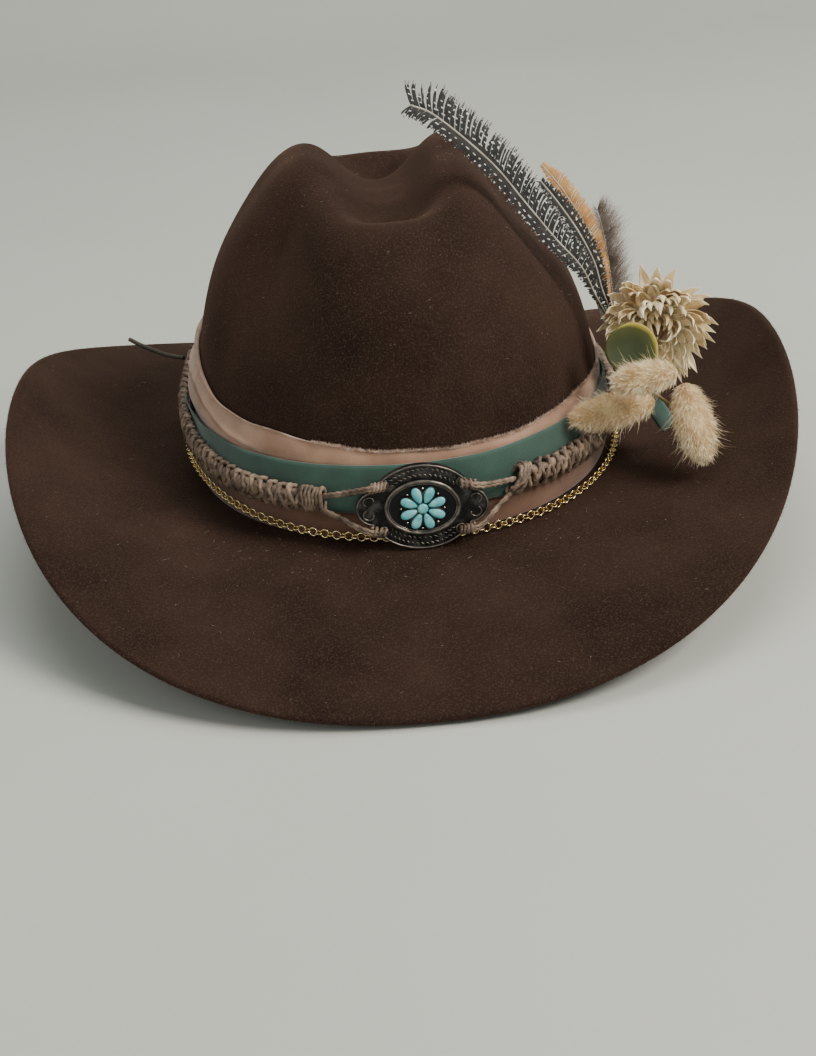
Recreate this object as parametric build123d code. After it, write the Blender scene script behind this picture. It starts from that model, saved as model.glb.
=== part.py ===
from build123d import *
import math
import os

# A cowboy hat: one blocked felt body with a dressed hat band, a concho, a chain and a dried posy.
# Millimetres. The origin is the centre of the head opening, on the line where the crown meets the brim.
# The front faces -Y, the wearer's left is +X and +Z is up. Angles turn from the front towards +X.

# Felt body
FELT = 3.0
CROWN_SIDE = 86.5
CROWN_FRONT = 105.0
CROWN_POWER = 2.15
CROWN_HEIGHT = 131.0
SHOULDER = 0.66
RISE = 1.10
CREASE_DEPTH = 25.0
CREASE_HALF_WIDTH = 20.5
CREASE_TURN = math.radians(2.5)
CREASE_FRONT = (-72.0, -38.0)
CREASE_BACK = (45.0, 75.0)
# Each pinch of the crown: bearing and its spread in degrees, height and its spread, depth.
PINCHES = ((-45, 22, 102, 34, 15.5), (80, 34, 106, 27, 14.5), (-92, 26, 112, 20, 5.0))
BRIM_SIDE = 160.0
BRIM_FRONT = 191.5
BRIM_POWER = 2.4
BREAK_RADIUS = 3.0
RING_POINTS = 36

# Bands, as distances out from the felt, and heights
SWEATBAND = (0.8, 2.0, 34.0)
TAN_BAND = (0.3, 1.3, 2.3)
GREEN_RIBBON = (1.6, 2.6, 13.0, 31.5)
BRAID = (2.9, 7.2)
BRAID_WIDTH = 10.0
LACE_RADIUS = 0.8

# Concho
CONCHO_CENTRE = Vector(4.4, -110.6, 17.0)
CONCHO_TURN = 3.5
PLATE_HALF = (20.5, 17.3)
PLATE_THICK = 1.6
LACE_HOLES = (14.5, 9.5)
BEZEL_HALF = (14.2, 11.0)
PETALS = 8

# Chain
LINK_ROUND = (1.6, 0.27)
LINK_JOINER = (1.35, 0.25)
CHAIN_GAP = 0.05

# Posy
BINDING = Vector(96, -38, 31)
FLOWER_CENTRE = Vector(102.7, -48, 58.5)
FLOWER_AXIS = Vector(-0.3, -0.86, 0.42)
LEAF_CENTRE = Vector(89.5, -72, 56.5)
BUNNY_TAILS = (
    (Vector(99, -59, 29), Vector(65.5, -80, 33.5), 7.2),
    (Vector(104.6, -79.2, 48.8), Vector(80.6, -88.4, 50.2), 6.0),
    (Vector(113, -58, 33), Vector(115.5, -84, 14), 7.6),
)

# The tie tail: the points of its route, from the knot outwards
TAIL_RADIUS = 0.95
TAIL_ROUTE = (
    (-92.4, 25.7, 33.6),
    (-98.5, 30.0, 33.4),
    (-104.0, 34.5, 34.0),
    (-109.0, 39.0, 34.7),
    (-113.6, 43.0, 35.6),
    (-118.0, 46.8, 37.0),
)

os.makedirs("parts", exist_ok=True)


def save(shape, name):
    export_step(shape, f"parts/{name}.step")


def smooth(value, low, high):
    share = min(1.0, max(0.0, (value - low) / (high - low)))
    return share * share * (3 - 2 * share)


def oval(angle, side, front, power):
    """Radius of a rounded oval at a bearing from the front."""
    return (abs(math.sin(angle) / side) ** power + abs(math.cos(angle) / front) ** power) ** (-1 / power)


def base_radius(angle):
    return oval(angle, CROWN_SIDE, CROWN_FRONT, CROWN_POWER)


def brim_width(angle):
    return oval(angle, BRIM_SIDE, BRIM_FRONT, BRIM_POWER) - base_radius(angle)


def crown_point(angle, level):
    """The crown's outer skin: level 0 at the brim break and 1 at the middle of the crease."""
    turn = level * math.pi / 2
    radius = base_radius(angle) * math.cos(turn) ** SHOULDER
    height = CROWN_HEIGHT * math.sin(turn) ** RISE
    pinch = 0
    for bearing, spread, middle, tall, depth in PINCHES:
        away = (math.degrees(angle) - bearing + 180) % 360 - 180
        pinch += depth * math.exp(-((away / spread) ** 2) - ((height - middle) / tall) ** 2)
    radius -= pinch * smooth(radius, 8, 40)
    x, y = radius * math.sin(angle), -radius * math.cos(angle)
    across = x * math.cos(CREASE_TURN) + y * math.sin(CREASE_TURN)
    along = y * math.cos(CREASE_TURN) - x * math.sin(CREASE_TURN)
    fade = smooth(height / CROWN_HEIGHT, 0.55, 0.97) * smooth(along, *CREASE_FRONT)
    fade *= 1 - smooth(along, *CREASE_BACK)
    height -= CREASE_DEPTH * math.exp(-abs(across / CREASE_HALF_WIDTH) ** 2.4) * fade
    return Vector(x, y, height)


def brim_point(angle, share):
    """The brim's top skin: share 0 at the crown and 1 at the edge. Its normal points down."""
    radius = base_radius(angle) + brim_width(angle) * share
    lift = 6 - 30.3 * math.cos(2 * angle) - 1.7 * math.cos(angle) + 1.1 * math.cos(4 * angle)
    curl = 1.5 + 0.7 * math.sin(angle) ** 2
    return Vector(radius * math.sin(angle), -radius * math.cos(angle), lift * max(share, 0) ** curl)


def offset_point(skin, angle, place, distance):
    """A point of a skin, moved out along the skin's normal."""
    step = 1e-3
    round_way = skin(angle + step, place) - skin(angle - step, place)
    up_way = skin(angle, place + step) - skin(angle, place - step)
    return skin(angle, place) + round_way.cross(up_way).normalized() * distance


def ring(point_at, flat=False):
    """A closed curve through one point at each bearing."""
    points = [point_at(2 * math.pi * i / RING_POINTS) for i in range(RING_POINTS)]
    if flat:
        height = sum(point.Z for point in points) / RING_POINTS
        points = [Vector(point.X, point.Y, height) for point in points]
    places = [i / RING_POINTS for i in range(RING_POINTS + 1)]
    return Wire([Edge.make_spline(points, periodic=True, parameters=places)])


def level_at(height):
    return math.asin((max(height, 0) / CROWN_HEIGHT) ** (1 / RISE)) * 2 / math.pi


def make_felt_body():
    levels = [0.99, 0.975, 0.95, 0.915, 0.87, 0.82, 0.76, 0.7, 0.63, 0.56, 0.48, 0.4, 0.31]
    levels += [level_at(height) for height in (40, 24, 11, BREAK_RADIUS)]
    near = (BREAK_RADIUS, 7)
    shares = (0.18, 0.3, 0.42, 0.54, 0.66, 0.78, 0.88, 0.95)
    rings = []

    def crown_ring(level, depth, flat):
        rings.append(ring(lambda angle: offset_point(crown_point, angle, level, -depth), flat))

    def break_ring(radius, degrees):
        out = BREAK_RADIUS - radius * math.cos(math.radians(degrees))
        height = BREAK_RADIUS - radius * math.sin(math.radians(degrees))

        def point(angle):
            reach = base_radius(angle) + out
            return Vector(reach * math.sin(angle), -reach * math.cos(angle), height)

        rings.append(ring(point))

    def brim_ring(share_at, depth):
        rings.append(ring(lambda angle: offset_point(brim_point, angle, share_at(angle), depth)))

    for number, level in enumerate(levels):
        crown_ring(level, 0, number == 0)
    for degrees in (30, 60):
        break_ring(BREAK_RADIUS, degrees)
    for distance in near:
        brim_ring(lambda angle: distance / brim_width(angle), 0)
    for share in shares:
        brim_ring(lambda angle: share, 0)
    for degrees in (0, 45, 90, 135, 180):
        half = FELT / 2
        inset = half - half * math.sin(math.radians(degrees))
        depth = half - half * math.cos(math.radians(degrees))
        brim_ring(lambda angle: 1 - inset / brim_width(angle), depth)
    for share in reversed(shares):
        brim_ring(lambda angle: share, FELT)
    for distance in reversed(near):
        brim_ring(lambda angle: distance / brim_width(angle), FELT)
    for degrees in (60, 30):
        break_ring(BREAK_RADIUS + FELT, degrees)
    for number, level in enumerate(reversed(levels)):
        crown_ring(level, FELT, number == len(levels) - 1)
    return Solid.make_loft(rings, ruled=True)


def wall_point(angle, height, standoff):
    """A point beside the crown at a true height, pushed straight out from the felt."""
    radius = base_radius(angle) * math.cos(level_at(height) * math.pi / 2) ** SHOULDER + standoff
    return Vector(radius * math.sin(angle), -radius * math.cos(angle), height)


def wall_solid(standoff, low, high):
    heights = [low + (high - low) * i / 4 for i in range(5)]
    return Solid.make_loft([ring(lambda angle: wall_point(angle, height, standoff)) for height in heights],
                           ruled=True)


def wall_band(inner, outer, low, high):
    return wall_solid(outer, low, high) - wall_solid(inner, low - 1, high + 1)


def tilted_slab(height, slope_x, slope_y, width):
    """A thick sheet between two parallel tilted planes, to trim a band with."""
    normal = Vector(-slope_x, -slope_y, 1)
    plane = Plane(origin=(0, 0, height), z_dir=normal)
    return plane * Box(500, 500, width)


def wedge(start, end):
    """A pie slice about Z, from one bearing to another in degrees."""
    count = max(2, math.ceil((end - start) / 30))
    points = [(0, 0)]
    for i in range(count + 1):
        angle = math.radians(start + (end - start) * i / count)
        points.append((260 * math.sin(angle), -260 * math.cos(angle)))
    return Pos(0, 0, -20) * extrude(make_face(Polyline(*points, close=True)), 120)


def tube(points, radius, radii=None):
    path = FilletPolyline(*points, radius=radii) if radii else Line(*points)
    return sweep(Plane(origin=path @ 0, z_dir=path % 0) * Circle(radius), path=path)


def bend_radii(points):
    """As large a radius at each corner as its two runs allow."""
    spots = [Vector(*point) for point in points]
    radii = []
    for before, corner, after in zip(spots, spots[1:], spots[2:]):
        run_in, run_out = corner - before, after - corner
        half_turn = math.radians(run_in.get_angle(run_out)) / 2
        radii.append(0.45 * min(run_in.length, run_out.length) / math.tan(half_turn))
    return radii


def spindle(start, end, radius):
    """A plump closed form along a line, for a grass head."""
    axis = end - start
    stations = ((0, 0.35), (0.12, 0.75), (0.4, 1.0), (0.7, 0.85), (0.92, 0.5), (1.0, 0.25))
    circles = []
    for share, part in stations:
        circles.append((Plane(origin=start + axis * share, z_dir=axis) * Circle(radius * part)).wire())
    return Solid.make_loft(circles, ruled=True)


def rounded_block(angle, height, standoff, size, turn=0):
    """A block with rounded edges that faces straight out from the crown."""
    centre = wall_point(angle, height, standoff)
    out = Vector(math.sin(angle), -math.cos(angle), 0)
    along = Vector(math.cos(angle), math.sin(angle), 0)
    block = Box(*size)
    block = fillet(block.edges(), min(size) * 0.35)
    return Plane(origin=centre, x_dir=along, z_dir=out) * Rot(0, 0, turn) * block


# ---------------------------------------------------------------- felt body and what is inside it

save(make_felt_body(), "felt_body")

sweat_inner = FELT + SWEATBAND[1]
sweat_outer = FELT + SWEATBAND[0]
save(wall_band(-sweat_inner, -sweat_outer, 0.5, SWEATBAND[2]), "sweatband")

bow_height = 8
bow_spot = wall_point(math.pi, bow_height, -sweat_inner - 2.7)
bow = [Pos(bow_spot) * Pos(side * 6.5, 0, 0) * Rot(0, side * -12, 0) * Box(10, 1.6, 7) for side in (-1, 1)]
bow_knot = Pos(bow_spot) * Box(4, 2.2, 5)
save(Compound([bow[0] + bow[1] + bow_knot]), "sweatband_bow")

# ---------------------------------------------------------------- velvet bands

tan = wall_band(TAN_BAND[0], TAN_BAND[1], TAN_BAND[2], 62)
tan_trim = tilted_slab(43.5 - 100, -0.065, 0.07, 200)
save(tan & tan_trim, "tan_velvet_band")

save(wall_band(*GREEN_RIBBON), "green_velvet_ribbon")

ribbon_plane = Plane(origin=(92, -20, 46), x_dir=(0.25, 0.97, 0), z_dir=(0.97, -0.25, 0.08))
save(ribbon_plane * Box(13, 24, 1.0), "ribbon_loop")
tail_plane = Plane(origin=(107, -47, 16), x_dir=(0.6, 0.8, 0), z_dir=(0.75, -0.56, 0.35))
save(tail_plane * Box(12, 16, 0.9), "ribbon_tail")

# ---------------------------------------------------------------- braid, wraps, knot and laces

braid_ring = wall_band(BRAID[0], BRAID[1], 3, 60)
left_slab = tilted_slab(36.5, 0.089, 0.143, BRAID_WIDTH)
right_slab = tilted_slab(24.5, -0.063, 0.030, BRAID_WIDTH)
save(braid_ring & left_slab & wedge(-102, -21.5), "braid_left")
save(braid_ring & right_slab & wedge(26.5, 250), "braid_right")

save(rounded_block(math.radians(-19.2), 18, 5.7, (7.6, 9.6, 4.6)), "wrap_left")
save(rounded_block(math.radians(22.8), 18.2, 6.9, (10.6, 12.0, 6.2)), "knot_right")
back_knot = rounded_block(math.radians(-106), 32, 7.0, (8.6, 11, 6.6))
save(back_knot, "back_knot")

concho_frame = Plane(origin=CONCHO_CENTRE, x_dir=(1, 0.04, 0), z_dir=(0.04, -1, 0)) * Rot(0, 0, -CONCHO_TURN)


def on_concho(x, y, z):
    return (concho_frame * Pos(x, y, z)).position


def lace(start, side, rise, name):
    """A short cord from a wrap over the plate's end and down into one of its holes."""
    hole_x, hole_y = side * LACE_HOLES[0], rise * LACE_HOLES[1]
    over = PLATE_THICK + LACE_RADIUS + 0.3
    points = (start, on_concho(side * 21.5, hole_y * 0.9, over), on_concho(hole_x, hole_y, over),
              on_concho(hole_x, hole_y, -0.6))
    save(tube(points, LACE_RADIUS, [2.5, 1.0]), name)


left_end = wall_point(math.radians(-16.7), 18, 5.0)
right_end = wall_point(math.radians(19.4), 18, 5.8)
for rise, word in ((1, "upper"), (-1, "lower")):
    shift = Vector(0, 0, 2.2 * rise)
    lace(left_end + shift, -1, rise, f"lace_left_{word}")
    lace(right_end + shift, 1, rise, f"lace_right_{word}")

tail_radii = bend_radii(TAIL_ROUTE)
tie_tail = tube(TAIL_ROUTE, TAIL_RADIUS, tail_radii) - back_knot
print("tie tail radii", [round(radius, 1) for radius in tail_radii])
save(tie_tail, "tie_tail")

# ---------------------------------------------------------------- concho



def plate_outline(inset):
    """The plate's outline: a wide oval with a round lobe at each end."""
    shape = Ellipse(PLATE_HALF[0] - inset, PLATE_HALF[1] - inset)
    for side in (-1, 1):
        shape += Pos(side * 17.6, 0) * Circle(7.2 - inset)
    return shape


plate = extrude(plate_outline(0), PLATE_THICK)
plate -= Pos(0, 0, PLATE_THICK - 0.35) * extrude(plate_outline(1.0), 1)
for side in (-1, 1):
    for rise in (-1, 1):
        plate -= Pos(side * LACE_HOLES[0], rise * LACE_HOLES[1], 0) * Cylinder(1.25, 6)
save(concho_frame * plate, "concho_plate")

floor = PLATE_THICK - 0.35
bezel = extrude(Ellipse(*BEZEL_HALF) - Ellipse(BEZEL_HALF[0] - 1.1, BEZEL_HALF[1] - 1.1), 1.5)
save(concho_frame * Pos(0, 0, floor) * bezel, "concho_bezel")
inlay = extrude(Ellipse(BEZEL_HALF[0] - 1.15, BEZEL_HALF[1] - 1.15), 0.8)
save(concho_frame * Pos(0, 0, floor) * inlay, "concho_inlay")

petal_spots = [Rot(0, 0, 22.5 + 45 * number) * Pos(5.55, 0) for number in range(PETALS)]
petal_shape = Ellipse(3.25, 2.05)
setting = Circle(2.6)
for spot in petal_spots:
    setting += spot * Ellipse(3.6, 2.35)
setting_floor = floor + 0.8
save(concho_frame * Pos(0, 0, setting_floor) * extrude(setting, 0.7), "flower_setting")
stone_floor = setting_floor + 0.7
petals = [concho_frame * Pos(0, 0, stone_floor) * spot * extrude(petal_shape, 1.0) for spot in petal_spots]
save(Compound([solid for petal in petals for solid in petal.solids()]), "turquoise_petals")
save(concho_frame * Pos(0, 0, stone_floor) * extrude(Circle(2.0), 1.2), "turquoise_centre")

# ---------------------------------------------------------------- chain


def chain_point(angle):
    """The chain's line: high against the band on the wearer's right, and close behind the concho."""
    away = (math.degrees(angle) + 66 + 180) % 360 - 180
    height = 2.4 + 8.2 * math.exp(-((away / 44) ** 2))
    from_concho = (math.degrees(angle) - 2 + 180) % 360 - 180
    standoff = 5.2 - 0.9 * math.exp(-((away / 60) ** 2)) - 1.6 * math.exp(-((from_concho / 22) ** 2))
    return wall_point(angle, height, standoff)


def make_chain():
    fine = 4000
    line = [chain_point(2 * math.pi * i / fine) for i in range(fine + 1)]
    lengths = [0.0]
    for a, b in zip(line, line[1:]):
        lengths.append(lengths[-1] + (b - a).length)
    step = LINK_ROUND[0] + LINK_JOINER[0] - LINK_ROUND[1] - LINK_JOINER[1] - CHAIN_GAP
    pairs = math.floor(lengths[-1] / (2 * step))
    step = lengths[-1] / (2 * pairs)
    links = []
    place = 0
    for number in range(2 * pairs):
        while lengths[place + 1] < number * step:
            place += 1
        here = line[place]
        along = (line[(place + 5) % fine] - line[place - 5 if place > 4 else place]).normalized()
        out = Vector(here.X, here.Y, 0).normalized()
        across = along.cross(out).normalized()
        size = LINK_ROUND if number % 2 == 0 else LINK_JOINER
        facing = out if number % 2 == 0 else across
        links.append(Solid.make_torus(size[0], size[1], Plane(origin=here, x_dir=along, z_dir=facing)))
    return Compound(links)


save(make_chain(), "chain_links")

# ---------------------------------------------------------------- posy


def facing_plane(centre, axis):
    return Plane(origin=centre, z_dir=axis)


heads = [spindle(*tail) for tail in BUNNY_TAILS]
for number, head in enumerate(heads, 1):
    save(head, f"bunny_tail_{number}")

flower = facing_plane(FLOWER_CENTRE - FLOWER_AXIS * 5, FLOWER_AXIS) * Cone(22.5, 11, 13)
flower -= spindle(BUNNY_TAILS[1][0], BUNNY_TAILS[1][1], 7.5)
flower -= spindle(BUNNY_TAILS[0][0], BUNNY_TAILS[0][1], 8.5)
quill_route = ((79.5, -42.6, 72.0), (83.5, -40.5, 60), (88, -38, 48), (92.5, -37.5, 38))
flower -= tube(quill_route, 1.5, [20, 20])
flower = max(flower.solids(), key=lambda solid: solid.volume)
save(flower, "dried_flower")

leaf = facing_plane(LEAF_CENTRE, Vector(0, -0.9, 0.44)) * Cylinder(10.2, 0.9)
save(leaf, "round_leaf")

binding = Pos(BINDING) * Sphere(4.2)
save(binding, "posy_binding")

stems = []
ends = [FLOWER_CENTRE - FLOWER_AXIS * 12, heads[0].center(), heads[2].center(), Vector(101, -60, 46)]
for end in ends:
    stem = tube((BINDING, end), 0.7)
    for other in heads + [flower, binding]:
        stem -= other
    if stem and stem.solids():
        stems.append(min(stem.solids(), key=lambda solid: (solid.center() - BINDING).length))
save(Compound(stems), "posy_stems")


def feather(name, y, left_edge, right_edge, thick=0.7):
    """A thin blade: one edge from the quill to the tip, and the other edge back again."""
    lower = [(x, z) for x, z in left_edge]
    upper = [(x, z) for x, z in reversed(right_edge)]
    blade = make_face(Spline(*lower) + Line(lower[-1], upper[0]) + Spline(*upper) + Line(upper[-1], lower[0]))
    save(Plane(origin=(0, y, 0), x_dir=(1, 0, 0), z_dir=(0, -1, 0)) * extrude(blade, thick), name)


feather("guinea_feather_long", -43,
        [(78.5, 71), (72, 83), (60, 97), (47, 111), (36, 127), (22, 138), (11, 146)],
        [(80.5, 74), (75, 92), (66, 108), (53, 128), (42, 141), (27, 156), (13, 159)])
feather("guinea_feather_short", -39,
        [(81.5, 66), (76, 76), (70, 88), (61, 104), (56, 115)],
        [(84.5, 68), (81, 82), (77, 94), (69, 108), (61, 119)])
feather("pheasant_feather", -36,
        [(84.0, 62), (80.0, 76), (74, 92), (66, 106), (60, 121)],
        [(86.5, 63), (84.5, 80), (80, 96), (72, 112), (62, 123)])
feather("down_plume", -32,
        [(86.5, 66), (84.5, 80), (82, 94), (80, 102)],
        [(90.5, 66), (95, 78), (94, 92), (83, 105)])

quill = tube(quill_route, 0.9, [20, 20])
save(quill - binding, "guinea_quill")
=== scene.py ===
from math import cos, hypot, pi, radians, sin, sqrt

import bpy
import numpy as np
from mathutils import Matrix, Vector


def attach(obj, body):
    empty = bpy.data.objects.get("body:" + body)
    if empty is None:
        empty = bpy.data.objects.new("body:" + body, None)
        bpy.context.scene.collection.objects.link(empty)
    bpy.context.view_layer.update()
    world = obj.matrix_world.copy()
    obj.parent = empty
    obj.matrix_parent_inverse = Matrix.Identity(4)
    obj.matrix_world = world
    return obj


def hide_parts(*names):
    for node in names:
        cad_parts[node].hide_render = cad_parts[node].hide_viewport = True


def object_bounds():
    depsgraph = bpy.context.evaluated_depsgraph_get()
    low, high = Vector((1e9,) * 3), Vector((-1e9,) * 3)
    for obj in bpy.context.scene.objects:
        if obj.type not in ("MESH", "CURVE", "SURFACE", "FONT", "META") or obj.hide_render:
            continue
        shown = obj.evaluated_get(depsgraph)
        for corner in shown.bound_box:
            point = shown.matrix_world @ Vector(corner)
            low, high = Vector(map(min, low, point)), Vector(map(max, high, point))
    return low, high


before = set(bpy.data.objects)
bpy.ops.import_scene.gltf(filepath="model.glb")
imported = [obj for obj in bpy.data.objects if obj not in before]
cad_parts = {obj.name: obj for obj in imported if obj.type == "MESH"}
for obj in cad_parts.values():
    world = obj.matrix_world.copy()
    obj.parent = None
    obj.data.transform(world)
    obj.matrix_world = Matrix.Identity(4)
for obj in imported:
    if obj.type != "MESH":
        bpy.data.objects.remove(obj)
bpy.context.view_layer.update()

# Everything is in metres in the model's frame: the origin is the centre of the head opening,
# the front faces -Y, the posy is on +X. The shape formulas below work in millimetres.
MM = 0.001
RNG = np.random.default_rng(7)

# ---- shape of the felt, in millimetres

FELT = 3.0
# Each oval is half its width, half its length and how square it is.
CROWN = (86.5, 105.0, 2.15)
BRIM = (160.0, 191.5, 2.4)
CROWN_HEIGHT = 131.0
CROWN_LEAN = 0.66
CROWN_RISE = 1.10
BREAK_RADIUS = 3.0
# Each pinch is a bearing in degrees, its spread, its middle height, its spread in height and its depth.
PINCHES = ((-45, 22, 102, 34, 15.5), (80, 34, 106, 27, 14.5), (-92, 26, 112, 20, 5.0))
CREASE_TURN = radians(2.5)
CREASE_DEPTH = 25
CREASE_HALF_WIDTH = 20.5


def smooth(value, low, high):
    share = np.clip((value - low) / (high - low), 0, 1)
    return share * share * (3 - 2 * share)


def bell(value, middle, spread):
    return np.exp(-(((value - middle) / spread) ** 2))


def unit(vector):
    return vector / np.linalg.norm(vector, axis=-1, keepdims=True)


def full_turn(count):
    return np.linspace(0, 2 * pi, count, endpoint=False)


def turned(angle, bearing):
    """Degrees from a bearing to an angle in radians, from -180 to 180."""
    return (np.degrees(angle) - bearing + 180) % 360 - 180


def oval(angle, side, front, power):
    flat = np.abs(np.sin(angle) / side) ** power + np.abs(np.cos(angle) / front) ** power
    return flat ** (-1 / power)


def brim_width(angle):
    return oval(angle, *BRIM) - oval(angle, *CROWN)


def polar(radius, angle, height):
    return np.stack([radius * np.sin(angle), -radius * np.cos(angle), height + 0 * radius], -1)


def crown_skin(angle, level):
    """Level 0 is the brim break, and 1 the middle of the crease."""
    turn = level * pi / 2
    radius = oval(angle, *CROWN) * np.cos(turn) ** CROWN_LEAN
    height = CROWN_HEIGHT * np.sin(turn) ** CROWN_RISE + 0 * radius
    pinch = 0
    for bearing, spread, middle, tall, depth in PINCHES:
        pinch = pinch + depth * bell(turned(angle, bearing), 0, spread) * bell(height, middle, tall)
    radius = radius - pinch * smooth(radius, 8, 40)
    x, y = radius * np.sin(angle), -radius * np.cos(angle)
    across = x * cos(CREASE_TURN) + y * sin(CREASE_TURN)
    along = y * cos(CREASE_TURN) - x * sin(CREASE_TURN)
    fade = smooth(height / CROWN_HEIGHT, 0.55, 0.97) * smooth(along, -72, -38) * (1 - smooth(along, 45, 75))
    height = height - CREASE_DEPTH * np.exp(-np.abs(across / CREASE_HALF_WIDTH) ** 2.4) * fade
    return np.stack([x, y, height], -1)


def brim_skin(angle, share):
    radius = oval(angle, *CROWN) + brim_width(angle) * share
    lift = 6 - 30.3 * np.cos(2 * angle) - 1.7 * np.cos(angle) + 1.1 * np.cos(4 * angle)
    curl = 1.5 + 0.7 * np.sin(angle) ** 2
    return polar(radius, angle, lift * np.maximum(share, 0) ** curl)


def moved_out(skin, angle, place, distance):
    step = 1e-3
    round_way = skin(angle + step, place) - skin(angle - step, place)
    up_way = skin(angle, place + step) - skin(angle, place - step)
    return skin(angle, place) + unit(np.cross(round_way, up_way)) * distance


def spot_on(skin, angle, place, distance):
    """One point of moved_out, for a single angle and place."""
    return moved_out(skin, np.array([angle]), np.array([place]), distance)[0]


def level_at(height):
    """The level of the crown that has this height, before the pinches and the crease."""
    return np.arcsin((np.maximum(height, 0) / CROWN_HEIGHT) ** (1 / CROWN_RISE)) * 2 / pi


def wall(angle, height, standoff):
    """A point beside the crown, pushed straight out from the felt."""
    radius = oval(angle, *CROWN) * np.cos(level_at(height) * pi / 2) ** CROWN_LEAN + standoff
    return polar(radius, angle, height)


def beside(angle, height, standoff):
    """One point of wall, for a single angle and height."""
    return wall(np.array([angle]), np.array([height]), standoff)[0]


# ---- mesh and material helpers


def add_object(name, data):
    made = bpy.data.objects.new(name, data)
    bpy.context.scene.collection.objects.link(made)
    return made


def thicken(piece, metres):
    piece.modifiers.new("thickness", "SOLIDIFY").thickness = metres


def new_mesh(name, points, faces, *finishes):
    """A mesh object from points in millimetres."""
    mesh = bpy.data.meshes.new(name)
    mesh.from_pydata([tuple(p) for p in np.asarray(points) * MM], [], [tuple(f) for f in faces])
    mesh.validate()
    mesh.polygons.foreach_set("use_smooth", [True] * len(mesh.polygons))
    piece = add_object(name, mesh)
    for finish in finishes:
        mesh.materials.append(finish)
    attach(piece, "root")
    return piece


def grid_faces(rows, columns, close_rows=False, close_columns=False, start=0):
    """Faces between neighbours in rows of points, closed round either way if asked."""
    faces = []
    for i in range(rows if close_rows else rows - 1):
        for j in range(columns if close_columns else columns - 1):
            a = start + i * columns + j
            b = start + i * columns + (j + 1) % columns
            c = start + ((i + 1) % rows) * columns + (j + 1) % columns
            d = start + ((i + 1) % rows) * columns + j
            faces.append((a, b, c, d))
    return faces


class Heap:
    """Points and faces that gather into one mesh."""

    def __init__(self):
        self.points, self.faces, self.slots, self.count = [], [], [], 0

    def add(self, points, faces, slot=0):
        points = np.asarray(points, float).reshape(-1, 3)
        self.points.append(points)
        self.faces += [tuple(i + self.count for i in face) for face in faces]
        self.slots += [slot] * len(faces)
        self.count += len(points)

    def piece(self, name, *finishes):
        made = new_mesh(name, np.concatenate(self.points), self.faces, *finishes)
        if len(made.data.polygons) == len(self.slots):
            made.data.polygons.foreach_set("material_index", self.slots)
        return made


def end_faces(rows, columns):
    """The two faces that close a grid of rows at its first and last column."""
    first = [row * columns for row in range(rows)]
    return [tuple(first)[::-1], tuple(corner + columns - 1 for corner in first)]


def ring_ends(rows, columns):
    """The two faces that close a grid of rings at its first and last row."""
    return [tuple(range(columns))[::-1], tuple((rows - 1) * columns + k for k in range(columns))]


def rounded_line(points, count):
    """A smooth line through the points, as evenly spaced samples."""
    p = np.asarray(points, float)
    padded = np.vstack([2 * p[0] - p[1], p, 2 * p[-1] - p[-2]])
    out = []
    for i in range(1, len(padded) - 2):
        a, b, c, d = padded[i - 1:i + 3]
        for t in np.linspace(0, 1, 12, endpoint=False):
            out.append(0.5 * (2 * b + (c - a) * t + (2 * a - 5 * b + 4 * c - d) * t * t
                              + (3 * b - a - 3 * c + d) * t ** 3))
    out.append(p[-1])
    out = np.array(out)
    lengths = np.concatenate([[0], np.cumsum(np.linalg.norm(np.diff(out, axis=0), axis=1))])
    places = np.linspace(0, lengths[-1], count)
    return np.stack([np.interp(places, lengths, out[:, k]) for k in range(3)], -1)


TWIST = 0.95
GROOVE = 0.21


def cord_tube(heap, points, radius, sides=9, spacing=0.55, plies=2, slot=0, closed=False):
    """A twisted cord along a smooth line. Plies press a groove that winds around it."""
    if closed:
        points = list(points) + [points[0]]
    rough = np.asarray(points, float)
    total = np.linalg.norm(np.diff(rough, axis=0), axis=1).sum()
    count = max(6, int(total / spacing))
    line = rounded_line(points, count)
    along = np.gradient(line, axis=0)
    along /= np.linalg.norm(along, axis=1, keepdims=True) + 1e-9
    side = np.cross(along[0], [0.31, 0.17, 0.93])
    side /= np.linalg.norm(side)
    rings = []
    theta = full_turn(sides)
    for i in range(count):
        side = side - along[i] * (side @ along[i])
        side /= np.linalg.norm(side) + 1e-9
        other = np.cross(along[i], side)
        groove = 1 if plies == 0 else 1 + GROOVE * np.cos(plies * theta - TWIST * i)
        reach = radius * groove
        sideways, upright = (np.cos(theta) * reach)[:, None], (np.sin(theta) * reach)[:, None]
        rings.append(line[i] + sideways * side + upright * other)
    faces = grid_faces(count, sides, close_columns=True) + ring_ends(count, sides)
    heap.add(np.concatenate(rings), faces, slot)


def nodes_of(made):
    tree = made.node_tree
    return tree.nodes, tree.links, tree.nodes["Principled BSDF"]


def noise_node(nodes, links, scale, detail):
    """The strength of a noise that is fixed to the object."""
    place = nodes.new("ShaderNodeTexCoord")
    noise = nodes.new("ShaderNodeTexNoise")
    noise.inputs["Scale"].default_value = scale
    noise.inputs["Detail"].default_value = detail
    links.new(place.outputs["Object"], noise.inputs["Vector"])
    return noise.outputs["Fac"]


# A Mix node has sockets of one name for each type, so the ones for colours go by number.
MIX_FACTOR, MIX_FIRST, MIX_SECOND, MIX_RESULT = 0, 6, 7, 2


def colour_mix(nodes, links, shader):
    """A mix between the shader and its present colour, which becomes the mix's first colour."""
    mix = nodes.new("ShaderNodeMix")
    mix.data_type = "RGBA"
    links.new(shader.inputs["Base Color"].links[0].from_socket, mix.inputs[MIX_FIRST])
    links.new(mix.outputs[MIX_RESULT], shader.inputs["Base Color"])
    return mix


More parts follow.
